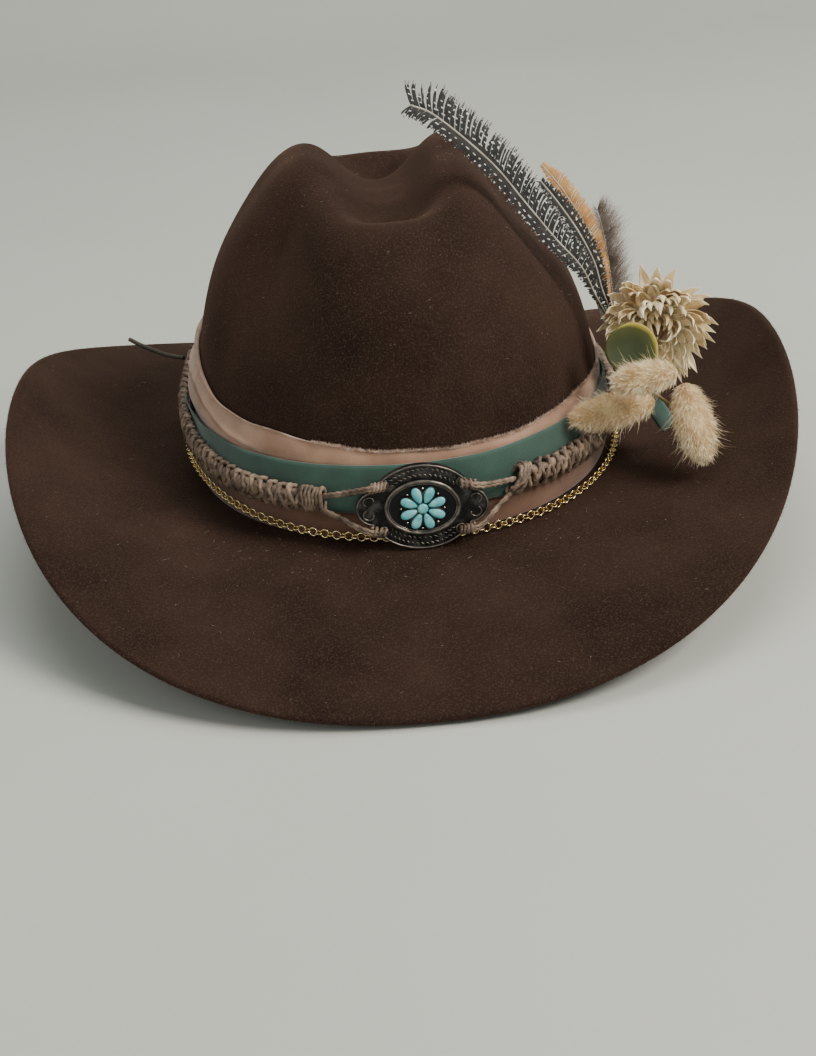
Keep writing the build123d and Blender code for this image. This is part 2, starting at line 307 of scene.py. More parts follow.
def material(name, colour, roughness, second, grain, bump, metallic=0.0, sheen=0.0,
             bump_grain=None, spread=(0.35, 0.65), coat=0.0, detail=6.0):
    """A procedural finish: two colours mixed by noise, and a finer noise for the bump."""
    made = bpy.data.materials.new(name)
    made.use_nodes = True
    nodes, links, shader = nodes_of(made)
    shader.inputs["Roughness"].default_value = roughness
    shader.inputs["Metallic"].default_value = metallic
    shader.inputs["Sheen Weight"].default_value = sheen
    shader.inputs["Coat Weight"].default_value = coat
    ramp = nodes.new("ShaderNodeValToRGB")
    for stop, place, tone in zip(ramp.color_ramp.elements, spread, (colour, second)):
        stop.position = place
        stop.color = (*tone, 1)
    links.new(noise_node(nodes, links, grain, detail), ramp.inputs["Fac"])
    links.new(ramp.outputs["Color"], shader.inputs["Base Color"])
    lift = nodes.new("ShaderNodeBump")
    lift.inputs["Strength"].default_value = bump
    lift.inputs["Distance"].default_value = 0.0006
    links.new(noise_node(nodes, links, bump_grain or grain * 12, 4), lift.inputs["Height"])
    links.new(lift.outputs["Normal"], shader.inputs["Normal"])
    return made


FELT_MAT = material("felt", (0.0150, 0.0076, 0.0052), 0.95, second=(0.036, 0.0190, 0.0132), grain=30,
                    bump=0.5, bump_grain=1300, sheen=0.12, spread=(0.3, 0.75), detail=15)
for socket, setting in (("Specular IOR Level", 0.12), ("Sheen Roughness", 0.45),
                        ("Sheen Tint", (0.75, 0.42, 0.30, 1))):
    nodes_of(FELT_MAT)[2].inputs[socket].default_value = setting
NAP = material("felt_nap", (0.05, 0.03, 0.021), 0.9, second=(0.10, 0.065, 0.05), grain=300, bump=0)
LINT = material("lint", (0.20, 0.15, 0.12), 0.9, second=(0.50, 0.42, 0.35), grain=200, bump=0)
BLUSH = material("blush_velvet", (0.29, 0.155, 0.095), 0.8, second=(0.55, 0.34, 0.235), grain=45,
                 bump=0.4, bump_grain=2600, sheen=0.45, spread=(0.3, 0.75))
# A lighter blush for the band's top lip and its fray fibres: a painted highlight along the top edge.
BLUSH_EDGE_HIGHLIGHT = material("blush_edge_highlight", (0.44, 0.28, 0.20), 0.8, second=(0.78, 0.60, 0.48), grain=300,
                      bump=0.3, sheen=0.6)
GREEN = material("green_velvet", (0.014, 0.048, 0.034), 0.75, second=(0.038, 0.105, 0.078), grain=60,
                 bump=0.35, bump_grain=2600, sheen=0.4, spread=(0.3, 0.75))
CORD = material("waxed_cord", (0.060, 0.038, 0.026), 0.55, second=(0.35, 0.25, 0.18), grain=210,
                bump=0.5, bump_grain=1900, spread=(0.32, 0.7))
TAIL = material("tail_cord", (0.035, 0.03, 0.02), 0.6, second=(0.075, 0.06, 0.04), grain=200, bump=0.4)
GUNMETAL = material("dark_metal", (0.016, 0.016, 0.016), 0.42, metallic=0.75,
                    second=(0.10, 0.095, 0.09), grain=240, bump=0.25, bump_grain=900,
                    spread=(0.45, 0.72))
WORN = material("worn_metal", (0.10, 0.095, 0.09), 0.36, metallic=0.9, second=(0.26, 0.225, 0.195),
                grain=300, bump=0.15, bump_grain=900)
ENAMEL = material("black_enamel", (0.003, 0.003, 0.004), 0.42, second=(0.007, 0.007, 0.008), grain=90,
                  bump=0.05)
nodes_of(ENAMEL)[2].inputs["Specular IOR Level"].default_value = 0.25
TURQUOISE = material("turquoise", (0.06, 0.42, 0.48), 0.2, second=(0.30, 0.74, 0.76), grain=330,
                     bump=0.08, coat=0.5, spread=(0.3, 0.7))
SILVER = material("silver", (0.55, 0.52, 0.48), 0.25, metallic=1.0, second=(0.8, 0.78, 0.74), grain=300,
                  bump=0.05)
GOLD = material("gold", (0.83, 0.62, 0.25), 0.24, metallic=1.0, second=(0.98, 0.86, 0.50), grain=400,
                bump=0.05)
PETAL = material("dried_petal", (0.70, 0.50, 0.27), 0.8, second=(1.0, 0.90, 0.66), grain=110, bump=0.5,
                 bump_grain=900, spread=(0.28, 0.58))
PETAL_HEART = material("petal_heart", (0.16, 0.085, 0.05), 0.9, second=(0.42, 0.28, 0.17), grain=200,
                       bump=0.4)
GRASS = material("grass_head", (0.60, 0.40, 0.20), 0.8, second=(0.86, 0.68, 0.42), grain=120, bump=0.2)
GRASS_HAIR = material("grass_hair", (0.76, 0.57, 0.33), 0.75, second=(1.0, 0.90, 0.66), grain=160,
                      bump=0.1)
STEM = material("stem", (0.24, 0.18, 0.08), 0.8, second=(0.4, 0.32, 0.16), grain=120, bump=0.3)
BARB = material("guinea_barb", (0.010, 0.010, 0.011), 0.55, second=(0.035, 0.033, 0.032), grain=300,
                bump=0.2)
DOT = material("guinea_dot", (0.70, 0.69, 0.65), 0.7, second=(0.92, 0.91, 0.88), grain=300, bump=0.1)
FRINGE = material("guinea_fringe", (0.16, 0.15, 0.14), 0.7, second=(0.42, 0.40, 0.38), grain=260,
                  bump=0.1)
SHAFT = material("quill", (0.36, 0.32, 0.27), 0.45, second=(0.60, 0.56, 0.5), grain=150, bump=0.1)
PHEASANT = material("pheasant_feather", (0.36, 0.15, 0.035), 0.7, second=(0.72, 0.40, 0.15), grain=110,
                    bump=0.2)
DOWN = material("down", (0.26, 0.20, 0.17), 0.85, second=(0.46, 0.38, 0.34), grain=140, bump=0.1)
SWEAT = material("sweat_leather", (0.045, 0.024, 0.014), 0.5, second=(0.09, 0.05, 0.03), grain=60,
                 bump=0.3, bump_grain=700)
BOW = material("bow_satin", (0.03, 0.016, 0.011), 0.4, second=(0.07, 0.04, 0.03), grain=120, bump=0.2)
THREAD = material("thread", (0.20, 0.13, 0.08), 0.7, second=(0.34, 0.24, 0.16), grain=400, bump=0.2)


def add_flecks(made, scale, colour, low, high):
    """Scatters fine light flecks over a finish, like the tips of a brushed nap."""
    nodes, links, shader = nodes_of(made)
    amount = nodes.new("ShaderNodeMapRange")
    amount.inputs["From Min"].default_value = low
    amount.inputs["From Max"].default_value = high
    links.new(noise_node(nodes, links, scale, 3), amount.inputs["Value"])
    mix = colour_mix(nodes, links, shader)
    mix.inputs[MIX_SECOND].default_value = (*colour, 1)
    links.new(amount.outputs["Result"], mix.inputs[MIX_FACTOR])


add_flecks(FELT_MAT, 1500, (0.062, 0.041, 0.031), 0.50, 0.80)


def darken_foot(made, low, high, shade):
    """Darkens a finish below a height, where the cord and ribbon shade the cloth."""
    nodes, links, shader = nodes_of(made)
    place = nodes.new("ShaderNodeTexCoord")
    split = nodes.new("ShaderNodeSeparateXYZ")
    links.new(place.outputs["Object"], split.inputs["Vector"])
    rise = nodes.new("ShaderNodeMapRange")
    rise.inputs["From Min"].default_value = low * MM
    rise.inputs["From Max"].default_value = high * MM
    links.new(split.outputs["Z"], rise.inputs["Value"])
    mix = colour_mix(nodes, links, shader)
    mix.blend_type = "MULTIPLY"
    mix.inputs[MIX_FACTOR].default_value = 1.0
    tone = nodes.new("ShaderNodeValToRGB")
    tone.color_ramp.elements[0].color = (*shade, 1)
    tone.color_ramp.elements[1].color = (1, 1, 1, 1)
    links.new(rise.outputs["Result"], tone.inputs["Fac"])
    links.new(tone.outputs["Color"], mix.inputs[MIX_SECOND])


darken_foot(BLUSH, 17, 30, (0.36, 0.28, 0.24))


def dress(node, made):
    """Gives a CAD node a procedural finish."""
    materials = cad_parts[node].data.materials
    materials.clear()
    materials.append(made)


# ---- felt body


FELT_COLUMNS = 300
NAP_HAIRS = 9000
LINT_HAIRS = 1300
HAIR_WIDTH = 0.09


def make_felt():
    angles = full_turn(FELT_COLUMNS)
    crown_levels = np.concatenate([np.linspace(0.985, 0.80, 34), np.linspace(0.795, level_at(8), 74),
                                   level_at(np.array([6.5, 5.0, 4.0, BREAK_RADIUS]))])
    shares = np.concatenate([np.linspace(0.1, 0.9, 46), [0.925, 0.95, 0.968]])
    rows = []

    def crown_rows(levels, depth):
        for level in levels:
            rows.append(moved_out(crown_skin, angles, level, -depth))

    def break_rows(degrees, radius):
        for one in degrees:
            out = BREAK_RADIUS - radius * cos(radians(one))
            height = BREAK_RADIUS - radius * sin(radians(one))
            rows.append(polar(oval(angles, *CROWN) + out, angles, height))

    def brim_rows(places, depth):
        for place in places:
            rows.append(moved_out(brim_skin, angles, place, depth))

    near = [distance / brim_width(angles) for distance in (3.0, 4.2, 5.6)]
    crown_rows(crown_levels, 0)
    break_rows((22, 45, 67), BREAK_RADIUS)
    brim_rows(near, 0)
    brim_rows(shares, 0)
    for degrees in np.linspace(0, 180, 11):
        half = FELT / 2
        inset = half - half * sin(radians(degrees)) ** 0.8
        brim_rows([1 - inset / brim_width(angles)], half - half * cos(radians(degrees)))
    brim_rows(shares[::-1], FELT)
    brim_rows(near[::-1], FELT)
    break_rows((67, 45, 22), BREAK_RADIUS + FELT)
    crown_rows(crown_levels[::-1], FELT)
    points = np.concatenate(rows)
    faces = grid_faces(len(rows), len(angles), close_columns=True)
    faces = [face[::-1] for face in faces]
    top, inside = rows[0].mean(axis=0), rows[-1].mean(axis=0)
    points = np.vstack([points, top, inside])
    count, last = len(angles), (len(rows) - 1) * len(angles)
    for j in range(count):
        faces.append((j, (j + 1) % count, len(points) - 2))
        faces.append((last + (j + 1) % count, last + j, len(points) - 1))
    felt = new_mesh("felt_hat", points, faces, FELT_MAT)
    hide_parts("felt_body")


def hair(heap, root, direction, length, width, bend=0.0, slot=0, sections=3):
    """A thin tapered strip, bent a little to one side."""
    direction = direction / (np.linalg.norm(direction) + 1e-9)
    side = np.cross(direction, RNG.normal(size=3))
    side /= np.linalg.norm(side) + 1e-9
    lean = np.cross(direction, side)
    points = []
    for i in range(sections):
        t = i / sections
        spot = root + direction * length * t + lean * bend * t * t
        half = width / 2 * (1 - 0.55 * t)
        points += [spot - side * half, spot + side * half]
    points.append(root + direction * length + lean * bend)
    faces = [(2 * i, 2 * i + 1, 2 * i + 3, 2 * i + 2) for i in range(sections - 1)]
    faces.append((2 * sections - 2, 2 * sections - 1, 2 * sections))
    heap.add(points, faces, slot)


def make_nap():
    """Short fibres that stand out along the brim's edge, and lint that lies on the felt."""
    nap = Heap()
    for _ in range(NAP_HAIRS):
        angle = RNG.uniform(0, 2 * pi)
        turn = RNG.uniform(0.2, pi - 0.4)
        edge = spot_on(brim_skin, angle, 1 - 0.4 / brim_width(angle), FELT * RNG.uniform(0.1, 0.9))
        out = np.array([sin(angle), -cos(angle), RNG.normal(0, 0.7)])
        out += RNG.normal(0, 0.35, 3) + np.array([0, 0, 0.2 * turn])
        hair(nap, edge, out, RNG.uniform(0.5, 1.5), HAIR_WIDTH, RNG.normal(0, 0.25), sections=2)
    made = nap.piece("felt_nap", NAP)
    lint = Heap()
    for _ in range(LINT_HAIRS):
        angle = RNG.uniform(0, 2 * pi)
        place = RNG.uniform()
        if place < 0.45:
            spot = spot_on(crown_skin, angle, RNG.uniform(0.33, 0.9), 0.12)
        elif place < 0.85:
            spot = spot_on(brim_skin, angle, RNG.uniform(0.12, 0.97), -0.12)
        else:
            angle = RNG.normal(0.05, 0.45)
            spot = spot_on(brim_skin, angle, RNG.uniform(0.05, 0.3), -0.15)
        lie = RNG.normal(size=3) * np.array([1, 1, 0.15])
        length = RNG.uniform(0.4, 1.1) + 2.2 * RNG.uniform() ** 6
        hair(lint, spot, lie, length, HAIR_WIDTH, RNG.normal(0, 0.3), sections=2)
    made = lint.piece("felt_lint", LINT)


# ---- velvet


def cloth_ring(name, rows, angles, made):
    """A thin closed sheet: outer rows from bottom to top, then the inner rows back down."""
    faces = grid_faces(len(rows), len(angles), close_rows=True, close_columns=True)
    return new_mesh(name, np.concatenate(rows), [face[::-1] for face in faces], made)


def tan_top(angle):
    """The height of the blush band's top edge, which climbs over the right temple and the back."""
    height = 36.3 + 3.0 * bell(turned(angle, -30), 0, 24) + 13.5 * bell(turned(angle, -85), 0, 36)
    height += 12.5 * bell(turned(angle, -150), 0, 52) + 8.0 * bell(turned(angle, 165), 0, 40)
    height += 1.2 * bell(turned(angle, 50), 0, 22) - 2.2 * bell(turned(angle, 10), 0, 22)
    return height + 0.35 * np.sin(9 * angle) + 0.2 * np.sin(23 * angle + 1)


BAND_COLUMNS = 520
BAND_FOOT = 2.4
BAND_ROWS = 76
FRAY_HAIRS = 5200
RIBBON_FOOT, RIBBON_TOP = 13.2, 31.6


def make_bands():
    angles = full_turn(BAND_COLUMNS)
    top = tan_top(angles)
    proud = 1.0 + 2.4 * bell(turned(angles, -85), 0, 40) + 0.5 * bell(turned(angles, 60), 0, 60)
    bearing = -turned(angles, 0)
    pleat = 31.2 + 11.0 * smooth(bearing, 34, 74)
    held = smooth(bearing, 30, 44) * (1 - smooth(bearing, 88, 108))
    outer, inner = [], []
    for share in np.linspace(0, 1, BAND_ROWS):
        height = BAND_FOOT + (top - BAND_FOOT) * share
        puff = 1.1 + proud * np.sin(pi * min(1, share * 1.02)) ** 0.6 * smooth(height, 28, 36)
        fold = (2.1 * bell(height, pleat, 0.75) - 0.9 * bell(height, pleat + 1.9, 1.2)) * held
        ripple = 0.12 * np.sin(31 * angles + 9 * share) + 0.10 * np.sin(57 * angles - 5 * share)
        outer.append(wall(angles, height, np.maximum(puff - fold, 0.75) + ripple * (share > 0.75)))
        inner.append(wall(angles, height, 0.35 + 0 * angles))
    lip = wall(angles, top + 0.75, 0.9 + 0.45 * proud)
    band = cloth_ring("blush_band", outer + [lip] + inner[::-1], angles, BLUSH)
    # The lip row at the top takes the lighter blush, a painted highlight along the band's top edge.
    band.data.materials.append(BLUSH_EDGE_HIGHLIGHT)
    first = (BAND_ROWS - 1) * len(angles)
    last = first + len(angles)
    edge = [1 if first <= number < last else 0 for number in range(len(band.data.polygons))]
    band.data.polygons.foreach_set("material_index", edge)
    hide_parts("tan_velvet_band")
    outer, inner = [], []
    for share in np.linspace(0, 1, 14):
        height = RIBBON_FOOT + (RIBBON_TOP - RIBBON_FOOT + 0.8 * bell(turned(angles, 33), 0, 14)) * share
        wave = 0.22 * np.sin(7 * angles) * share + 0.15 * np.sin(19 * angles + 2)
        belly = 0.6 * sin(pi * share)
        clear = 2.9 * bell(turned(angles, -85), 0, 30) * smooth(height, 26, 33)
        outer.append(wall(angles, height, 2.7 + wave + belly + clear))
        inner.append(wall(angles, height, 2.2 + wave + belly + clear))
    ribbon = cloth_ring("green_ribbon", outer + inner[::-1], angles, GREEN)
    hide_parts("green_velvet_ribbon")
    fray = Heap()
    for _ in range(FRAY_HAIRS):
        angle = RNG.uniform(-0.35, 1.2)
        spot = wall(np.array([angle]), tan_top(np.array([angle])) + 0.4, 1.0 + 0.5 * RNG.uniform())[0]
        out = np.array([sin(angle) * 0.5, -cos(angle) * 0.5, 0.9]) + RNG.normal(0, 0.5, 3)
        hair(fray, spot, out, RNG.uniform(0.4, 1.7), 0.2, RNG.normal(0, 0.3), sections=2)
    # The fray fibres take the same lighter blush, a painted highlight over the band's top edge.
    made = fray.piece("blush_band_fray", BLUSH_EDGE_HIGHLIGHT)


def ribbon_strip(name, node, line, across, thick):
    """A strip of ribbon along a line, with its width along the across direction."""
    line = rounded_line(line, 26)
    along = np.gradient(line, axis=0)
    across = np.asarray(across, float)
    normal = unit(np.cross(along, across))
    rows = []
    for side in (1, -1):
        for share in np.linspace(-0.5, 0.5, 9) * side:
            curl = normal * (0.9 * (abs(share) * 2) ** 2 + side * thick / 2)
            rows.append(line + across * share + curl)
    faces = grid_faces(len(rows), len(line), close_rows=True) + end_faces(len(rows), len(line))
    strip = new_mesh(name, np.concatenate(rows), faces, GREEN)
    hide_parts(node)


# ---- braid, wraps, knots and laces


BRAID_STANDOFF = 5.0


def braid_height(angle):
    """The height of the braid's middle, from a bearing of -110 round the front to 250 degrees."""
    if angle < 0:
        return 36.5 + 0.089 * 92 * sin(angle) - 0.143 * 108 * cos(angle)
    return 24.5 - 0.063 * 92 * sin(angle) - 0.030 * 108 * cos(angle)


def braid_frame(angle):
    """The braid's middle at an angle, and the ways along it, up and out of the hat."""
    centre = beside(angle, braid_height(angle), BRAID_STANDOFF)
    along = unit(beside(angle + 0.01, braid_height(angle + 0.01), BRAID_STANDOFF) - centre)
    out = np.array([sin(angle), -cos(angle), 0.0])
    out = unit(out - along * (out @ along))
    return centre, along, np.cross(out, along), out


def placed(frame_at, points):
    centre, along, up, out = frame_at
    return [centre + along * a + up * b + out * c for a, b, c in points]


BRAID_PITCH = 2.3
# One strand over the braid: along, up and out, in millimetres.
STRAND = ((-0.9, -3.9, -0.9), (-1.3, -4.4, 0.5), (-0.9, -2.6, 1.8), (0.1, -0.4, 2.15),
          (1.0, 2.0, 1.75), (1.5, 4.0, 0.9), (2.3, 4.5, -0.3), (3.1, 3.8, -1.1))


def make_braid(name, node, start, end):
    heap = Heap()
    angle = radians(start)
    stop = radians(end)
    number = 0
    while angle < stop:
        here = braid_frame(angle)
        flip = 1 if number % 2 else -1
        jitter = RNG.normal(0, 0.26, 3)
        over = [(a + jitter[0], flip * (b * 1.04 + jitter[1]), c + 0.3 * jitter[2])
                for a, b, c in STRAND]
        cord_tube(heap, placed(here, over), 0.90, sides=10, spacing=0.5)
        number += 1
        angle += BRAID_PITCH / float(np.linalg.norm(beside(angle, 20.0, BRAID_STANDOFF)))
    for rail in (-1.7, 1.7):
        places = np.linspace(radians(start), stop, max(8, int(abs(end - start) / 3)))
        core = [placed(braid_frame(place), [(0, rail, 0.25)])[0] for place in places]
        cord_tube(heap, core, 1.75, sides=8, spacing=1.2)
    braid = heap.piece(name, CORD)
    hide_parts(node)


def loop_points(half_up, half_out, tilt, shift):
    return [(shift + tilt * half_up * cos(t), half_up * cos(t), half_out * sin(t)) for t in full_turn(14)]


def make_wraps():
    wrap = Heap()
    here = braid_frame(radians(-19.3))
    for number in range(6):
        shift = -3.5 + 1.42 * number
        tilt = -0.16 + 0.05 * number + RNG.normal(0, 0.05)
        half = 4.7 - 0.18 * number + RNG.normal(0, 0.25)
        cord_tube(wrap, placed(here, loop_points(half, 2.5, tilt, shift)), 0.80, closed=True)
    made = wrap.piece("cord_wrap", CORD)
    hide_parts("wrap_left")
    knot = Heap()
    here = braid_frame(radians(22.8))
    for tilt, shift, up, out in ((0.55, -1.9, 5.0, 2.9), (0.5, -0.3, 5.6, 3.2),
                                 (0.42, 1.4, 5.2, 3.0), (-0.35, 2.9, 4.3, 2.7)):
        cord_tube(knot, placed(here, loop_points(up, out, tilt, shift)), 0.85, closed=True)
    cross = [(-4.2, -2.6, 1.2), (-2.4, -1.6, 3.2), (0.4, 0.6, 3.9), (2.6, 2.4, 3.2), (4.4, 3.4, 1.2)]
    cord_tube(knot, placed(here, cross), 0.85)
    made = knot.piece("front_knot", CORD)
    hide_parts("knot_right")
    back = Heap()
    here = braid_frame(radians(-106))
    for tilt, shift in ((0.4, -1.6), (0.1, 0.2), (-0.35, 1.9)):
        cord_tube(back, placed(here, loop_points(4.4, 2.8, tilt, shift)), 0.9, closed=True)
    stub = [(0.5, -1.5, 2.4), (0.2, -2.6, 3.6), (-0.4, -4.4, 4.0)]
    cord_tube(back, placed(here, stub), 1.0)
    made = back.piece("tie_knot", CORD)
    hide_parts("back_knot")


CONCHO_TURN = radians(-3.5)
CONCHO_OUT = np.array([0.04, -1.0, 0.0]) / hypot(0.04, 1)
CONCHO_FLAT = np.array([1.0, 0.04, 0.0]) / hypot(0.04, 1)
CONCHO_X = CONCHO_FLAT * cos(CONCHO_TURN) + np.array([0, 0, 1.0]) * sin(CONCHO_TURN)
CONCHO_Y = np.array([0, 0, 1.0]) * cos(CONCHO_TURN) - CONCHO_FLAT * sin(CONCHO_TURN)
CONCHO_CENTRE = np.array([4.4, -110.6, 17.0])
PLATE_THICK = 1.6
HOLES = (14.5, 9.5)


def on_concho(points):
    points = np.asarray(points, float)
    return CONCHO_CENTRE + points @ np.array([CONCHO_X, CONCHO_Y, CONCHO_OUT])


def make_laces():
    for side, bearing, standoff in ((-1, -16.7, 5.0), (1, 19.4, 5.8)):
        end = beside(radians(bearing + 2.4 * side), 18.0, standoff)
        for rise, word in ((1, "upper"), (-1, "lower")):
            heap = Heap()
            hole_x, hole_y, over = HOLES[0], rise * HOLES[1], PLATE_THICK + 1.0
            for strand in (-0.55, 0.55):
                near = on_concho([(side * 21.8, rise * 8.2 + strand, over),
                                  (side * (hole_x + 1.6), hole_y + strand, over + 0.9),
                                  (side * hole_x, hole_y + strand, over + 0.2),
                                  (side * (hole_x - 0.2), hole_y + strand * 0.6, 0.2)])
                start = end + np.array([0, 0, 2.0 * rise + strand * 0.5])
                between = (start + near[0]) / 2 + np.array([0, 0, -0.25 * rise])
                cord_tube(heap, [start, between, *near], 0.72, sides=10, spacing=0.45)
            turns = 4 if side * rise < 0 else 3
            coil = []
            for t in np.linspace(0, 1, 14 * turns):
                x = side * (HOLES[0] - 0.6 + 5.2 * t)
                y = rise * (HOLES[1] - 0.75 * t)
                turn = 2 * pi * turns * t
                coil.append((x + 0.3 * cos(turn), y + 1.55 * cos(turn), over + 0.15 + 1.45 * sin(turn)))
            cord_tube(heap, on_concho(coil), 0.58, sides=8, spacing=0.45)
            word = f"lace_{'left' if side < 0 else 'right'}_{word}"
            made = heap.piece(f"{word}_cord", CORD)
            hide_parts(word)


TAIL_ROUTE = ((-0.0924, 0.0257, 0.0336), (-0.0985, 0.0300, 0.0334), (-0.1040, 0.0345, 0.0340),
              (-0.1090, 0.0390, 0.0347), (-0.1136, 0.0430, 0.0356), (-0.1180, 0.0468, 0.0370))
TAIL_DIAMETER = 0.0019


def make_tail():
    curve = bpy.data.curves.new("tie_tail_cord", "CURVE")
    curve.dimensions = "3D"
    curve.bevel_depth = TAIL_DIAMETER / 2
    curve.bevel_resolution = 4
    curve.use_fill_caps = True
    curve.resolution_u = 10
    spline = curve.splines.new("NURBS")
    spline.points.add(len(TAIL_ROUTE) - 1)
    for point, spot in zip(spline.points, TAIL_ROUTE):
        point.co = (*spot, 1)
    spline.order_u = 3
    spline.use_endpoint_u = True
    curve.materials.append(TAIL)
    tail = add_object("tie_tail_cord", curve)
    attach(tail, "root")
    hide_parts("tie_tail")


# ---- concho


def domed(heap, outline, base, rise, centre=(0, 0)):
    """A cabochon: an outline that rises to a crown in a few rounded steps."""
    outline = np.asarray(outline, float)
    steps = ((1.0, 0.0), (1.0, 0.45), (0.93, 0.72), (0.78, 0.9), (0.5, 1.0))
    count = len(outline)
    points = []
    for scale, up in steps:
        ring = np.asarray(centre) + (outline - np.asarray(centre)) * scale
        points += [(x, y, base + rise * up) for x, y in ring]
    points.append((centre[0], centre[1], base + rise * 1.03))
    faces = grid_faces(len(steps), count, close_columns=True)
    last = (len(steps) - 1) * count
    faces += [(last + j, last + (j + 1) % count, len(points) - 1) for j in range(count)]
    faces.append(tuple(range(count))[::-1])
    heap.add(on_concho(points), faces)


def circle(middle_x, middle_y, radius, count):
    return [(middle_x + radius * cos(t), middle_y + radius * sin(t)) for t in full_turn(count)]


def concho_tube(heap, points, radius, closed=False, slot=0):
    cord_tube(heap, on_concho(points), radius, sides=8, spacing=0.35, plies=0, closed=closed, slot=slot)


def ellipse_points(half_x, half_y, height, count=64):
    turn = full_turn(count)
    return np.stack([half_x * np.cos(turn), half_y * np.sin(turn), height + 0 * turn], -1)


def make_concho():
    floor = PLATE_THICK - 0.35
    dress("concho_plate", GUNMETAL)
    dress("concho_inlay", ENAMEL)
    dress("flower_setting", GUNMETAL)
    bezel = Heap()
    concho_tube(bezel, ellipse_points(13.65, 10.45, floor + 0.75), 0.75, closed=True)
    concho_tube(bezel, ellipse_points(12.75, 9.55, floor + 0.85), 0.3, closed=True)
    made = bezel.piece("bezel_ring", WORN)
    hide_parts("concho_bezel")
    relief = Heap()
    inset = 0.55
    ring = []
    for turn in full_turn(180):
        x, y = cos(turn), sin(turn)
        reach = 1 / hypot(x / (20.5 - inset), y / (17.3 - inset))
        for lobe in (-17.6, 17.6):
            along = x * lobe
            root = along * along - lobe * lobe + (7.2 - inset) ** 2
            if root > 0:
                reach = max(reach, along + sqrt(root))
        ring.append((x * reach, y * reach, floor + 0.5))
    concho_tube(relief, ring, 0.42, closed=True)
    for row, (half_x, half_y, count) in enumerate(((17.6, 15.1, 60), (16.1, 12.8, 52))):
        for number in range(count):
            turn = 2 * pi * (number + 0.5 * row) / count
            x, y = half_x * cos(turn), half_y * sin(turn)
            if abs(x) > 12.2 or min(hypot(abs(x) - HOLES[0], abs(y) - HOLES[1]), 9) < 2.2:
                continue
            lean = np.array([cos(turn + 0.9), sin(turn + 0.9)]) * 0.75
            stroke = [(x - lean[0], y - lean[1], floor + 0.12), (x + 0.25, y, floor + 0.34),
                      (x + lean[0], y + lean[1], floor + 0.12)]
            concho_tube(relief, stroke, 0.24)
    for side in (-1, 1):
        for rise in (-1, 1):
            hook = []
            for t in np.linspace(0, 1, 9):
                turn = radians(-60 + 250 * t)
                reach = 2.9 - 1.3 * t
                hook.append((side * (19.6 + reach * cos(turn) * 0.9),
                             rise * (2.9 + reach * sin(turn) * 0.8), floor + 0.28))
            concho_tube(relief, hook, 0.33)
            concho_tube(relief, ellipse_points(1.75, 1.75, PLATE_THICK - 0.2, 20)
                        + np.array([side * HOLES[0], rise * HOLES[1], 0]), 0.34, closed=True)
    made = relief.piece("concho_relief", WORN)
    base = floor + 1.3
    stones, beads = Heap(), Heap()
    for number in range(8):
        turn = radians(22.5 + 45 * number)
        across, rise = cos(turn), sin(turn)
        outline = []
        for t in full_turn(28):
            along = 5.55 + 3.3 * cos(t)
            wide = 2.12 * sin(t) * (0.80 + 0.24 * cos(t))
            outline.append((along * across - wide * rise, along * rise + wide * across))
        domed(stones, outline, base, 1.25, centre=(5.9 * across, 5.9 * rise))
        ring = [(x * 1.03, y * 1.03, base + 0.12) for x, y in outline]
        concho_tube(beads, ring, 0.2, closed=True, slot=1)
        bead = radians(45 * number)
        middle = (8.05 * cos(bead), 8.05 * sin(bead))
        domed(beads, circle(*middle, 0.42, 12), base - 0.1, 0.6, centre=middle)
    made = stones.piece("petal_stones", TURQUOISE)
    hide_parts("turquoise_petals")
    made = beads.piece("setting_beads", SILVER, GUNMETAL)
    heart = Heap()
    domed(heart, circle(0, 0, 2.0, 28), base, 1.4)
    made = heart.piece("centre_stone", TURQUOISE)
    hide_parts("turquoise_centre")


# ---- posy


def orthonormal(axis):
    """An axis of length 1, the level way across it, and the way up across both."""
    axis = unit(np.asarray(axis, float))
    side = unit(np.cross(axis, [0.0, 0.0, 1.0]))
    return axis, side, np.cross(side, axis)


# Each layer of petals: how many, their lean in degrees, length, width and material slot.
PETAL_LAYERS = ((30, 90, 23.0, 5.0, 0), (28, 81, 23.5, 5.2, 0), (27, 72, 23.0, 5.2, 0),
                (25, 62, 22.0, 5.0, 0), (22, 52, 20.0, 4.7, 0), (19, 42, 17.0, 4.2, 0),
                (15, 32, 13.5, 3.6, 0), (12, 21, 9.8, 2.8, 1), (8, 10, 8.0, 2.2, 1))


def make_flower():
    centre = np.array([103.0, -49.0, 55.8])
    axis, side, up = orthonormal((-0.12, -0.98, -0.06))
    heap = Heap()
    for layer, (count, lean, length, width, slot) in enumerate(PETAL_LAYERS):
        for number in range(count):
            turn = 2 * pi * (number + 0.5 * (layer % 2)) / count + RNG.normal(0, 0.09)
            tilt = radians(lean + RNG.normal(0, 7.5))
            reach = length * RNG.uniform(0.84, 1.08)
            lopsided = RNG.normal(0, 0.28)
            radial = side * cos(turn) + up * sin(turn)
            cross = np.cross(axis, radial)
            points = []
            steps, sides = 7, 5
            for i in range(steps):
                t = i / (steps - 1)
                bend = tilt + 0.25 * sin(pi * t) - 0.30 * t * t
                spot = centre - axis * 7 + (radial * sin(bend) + axis * cos(bend)) * (2 + reach * t)
                swell = 0.45 + 0.75 * sin(pi * min(1, t * 0.86 + 0.1))
                half = width / 2 * swell * (1 - t ** 4 * 0.96)
                lift = -radial * cos(bend) + axis * sin(bend)
                for j in range(sides):
                    s = 2 * j / (sides - 1) - 1
                    points.append(spot + cross * half * s + lift * half * (0.85 * s * s + lopsided * s * t))
            heap.add(points, grid_faces(steps, sides), slot)
    flower = heap.piece("flower_head", PETAL, PETAL_HEART)
    thicken(flower, 0.00028)
    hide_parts("dried_flower")


